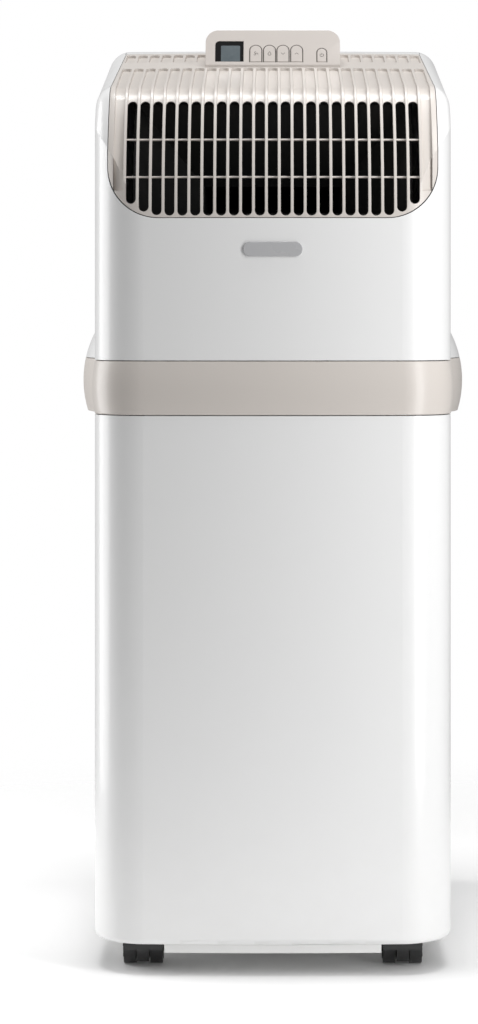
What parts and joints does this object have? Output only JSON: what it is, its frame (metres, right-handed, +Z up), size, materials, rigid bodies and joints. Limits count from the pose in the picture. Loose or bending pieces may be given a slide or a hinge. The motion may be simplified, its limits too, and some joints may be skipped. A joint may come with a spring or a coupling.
{
  "type": "portable air conditioner",
  "caption": "Upright portable air conditioner on castors, with a slotted outlet on the leaning upper front, a control pod on the roof, a belt with side hand grips and a rear exhaust port.",
  "frame": {"origin": "on the floor, under the middle of the body", "axes": "+Z up, -Y out of the front with the slotted outlet, +X to the right of a person who faces the front"},
  "size_m": [0.3016, 0.349, 0.7115],
  "materials": {
    "white_shell": "smooth glossy white moulded plastic",
    "belt_plastic": "satin warm grey moulded plastic",
    "beige_plastic": "satin pale beige moulded plastic",
    "badge": "blank smooth badge",
    "display_glass": "dark clear window",
    "dark_plastic": "black moulded plastic",
    "circuit_board": "green board",
    "castor_plastic": "black satin plastic",
    "plated_steel": "zinc plated steel",
    "fin_aluminium": "thin aluminium fins",
    "black_steel": "black painted steel",
    "rubber": "soft black rubber",
    "copper": "bare copper tube",
    "filter_mesh": "fine woven nylon mesh"
  },
  "bodies": {
    "cabinet": {"accumulator": "black_steel", "badge_plate": "badge", "base_tray": "dark_plastic", "cable_gland": "dark_plastic", "compressor": "black_steel", "compressor_feet": "rubber", "condenser_coil": "fin_aluminium", "condenser_fan_housing": "dark_plastic", "condenser_fan_motor": "plated_steel", "control_board": "circuit_board", "control_pod": "beige_plastic", "display_lens": "display_glass", "display_module": "dark_plastic", "electrical_box": "plated_steel", "evaporator_coil": "fin_aluminium", "evaporator_fan_housing": "dark_plastic", "evaporator_fan_motor": "plated_steel", "exhaust_collar": "dark_plastic", "exhaust_duct": "dark_plastic", "front_belt": "belt_plastic", "front_panel_lower": "white_shell", "front_panel_upper": "white_shell", "left_handle": "belt_plastic", "left_side_panel_lower": "white_shell", "left_side_panel_upper": "white_shell", "lower_intake_grille": "beige_plastic", "outlet_duct": "dark_plastic", "outlet_grille": "beige_plastic", "partition_shelf": "dark_plastic", "rear_belt": "belt_plastic", "rear_panel_lower": "white_shell", "rear_panel_upper": "white_shell", "rear_screws": "plated_steel", "refrigerant_tubes": "copper", "right_handle": "belt_plastic", "right_side_panel_lower": "white_shell", "right_side_panel_upper": "white_shell", "run_capacitor": "fin_aluminium", "top_cover": "white_shell"},
    "evaporator_fan": {"evaporator_fan_wheel": "dark_plastic"},
    "condenser_fan": {"condenser_fan_wheel": "dark_plastic"},
    "intake_filter": {"upper_intake_grille": "beige_plastic", "filter_frame": "dark_plastic", "filter_mesh": "filter_mesh"},
    "drain_plug": {"drain_cap": "rubber"},
    "fan_button": {"fan_button": "beige_plastic"},
    "mode_button": {"mode_button": "beige_plastic"},
    "down_button": {"down_button": "beige_plastic"},
    "up_button": {"up_button": "beige_plastic"},
    "power_button": {"power_button": "beige_plastic"},
    "front_left_castor": {"front_left_castor_hood": "castor_plastic"},
    "front_left_wheels": {"front_left_castor_wheels": "castor_plastic"},
    "front_right_castor": {"front_right_castor_hood": "castor_plastic"},
    "front_right_wheels": {"front_right_castor_wheels": "castor_plastic"},
    "rear_left_castor": {"rear_left_castor_hood": "castor_plastic"},
    "rear_left_wheels": {"rear_left_castor_wheels": "castor_plastic"},
    "rear_right_castor": {"rear_right_castor_hood": "castor_plastic"},
    "rear_right_wheels": {"rear_right_castor_wheels": "castor_plastic"}
  },
  "joints": [
    {"name": "front_left_swivel", "type": "hinge", "parent": "cabinet", "child": "front_left_castor", "pos_m": [-0.097, -0.1175, 0.036], "axis": [0, 0, 1], "continuous": true},
    {"name": "front_left_roll", "type": "hinge", "parent": "front_left_castor", "child": "front_left_wheels", "pos_m": [-0.097, -0.128, 0.016], "axis": [1, 0, 0], "continuous": true},
    {"name": "front_right_swivel", "type": "hinge", "parent": "cabinet", "child": "front_right_castor", "pos_m": [0.097, -0.1175, 0.036], "axis": [0, 0, 1], "continuous": true},
    {"name": "front_right_roll", "type": "hinge", "parent": "front_right_castor", "child": "front_right_wheels", "pos_m": [0.097, -0.128, 0.016], "axis": [1, 0, 0], "continuous": true},
    {"name": "rear_left_swivel", "type": "hinge", "parent": "cabinet", "child": "rear_left_castor", "pos_m": [-0.097, 0.1175, 0.036], "axis": [0, 0, 1], "continuous": true},
    {"name": "rear_left_roll", "type": "hinge", "parent": "rear_left_castor", "child": "rear_left_wheels", "pos_m": [-0.097, 0.107, 0.016], "axis": [1, 0, 0], "continuous": true},
    {"name": "rear_right_swivel", "type": "hinge", "parent": "cabinet", "child": "rear_right_castor", "pos_m": [0.097, 0.1175, 0.036], "axis": [0, 0, 1], "continuous": true},
    {"name": "rear_right_roll", "type": "hinge", "parent": "rear_right_castor", "child": "rear_right_wheels", "pos_m": [0.097, 0.107, 0.016], "axis": [1, 0, 0], "continuous": true},
    {"name": "fan_button_press", "type": "slide", "parent": "cabinet", "child": "fan_button", "axis": [0, 0.891, -0.454], "range_m": [0, 0.0008], "stiffness_N_per_m": 500, "springref_m": -0.0005},
    {"name": "mode_button_press", "type": "slide", "parent": "cabinet", "child": "mode_button", "axis": [0, 0.891, -0.454], "range_m": [0, 0.0008], "stiffness_N_per_m": 500, "springref_m": -0.0005},
    {"name": "down_button_press", "type": "slide", "parent": "cabinet", "child": "down_button", "axis": [0, 0.891, -0.454], "range_m": [0, 0.0008], "stiffness_N_per_m": 500, "springref_m": -0.0005},
    {"name": "up_button_press", "type": "slide", "parent": "cabinet", "child": "up_button", "axis": [0, 0.891, -0.454], "range_m": [0, 0.0008], "stiffness_N_per_m": 500, "springref_m": -0.0005},
    {"name": "power_button_press", "type": "slide", "parent": "cabinet", "child": "power_button", "axis": [0, 0.891, -0.454], "range_m": [0, 0.0008], "stiffness_N_per_m": 500, "springref_m": -0.0005},
    {"name": "evaporator_fan_spin", "type": "hinge", "parent": "cabinet", "child": "evaporator_fan", "pos_m": [0, 0.018, 0.5], "axis": [1, 0, 0], "continuous": true},
    {"name": "condenser_fan_spin", "type": "hinge", "parent": "cabinet", "child": "condenser_fan", "pos_m": [0.028, 0.08, 0.165], "axis": [0, 1, 0], "continuous": true},
    {"name": "intake_filter_pull", "type": "slide", "parent": "cabinet", "child": "intake_filter", "axis": [0, 1, 0], "range_m": [0, 0.15]},
    {"name": "drain_cap_pull", "type": "slide", "parent": "cabinet", "child": "drain_plug", "axis": [0, 1, 0], "range_m": [0, 0.04]}
  ]
}
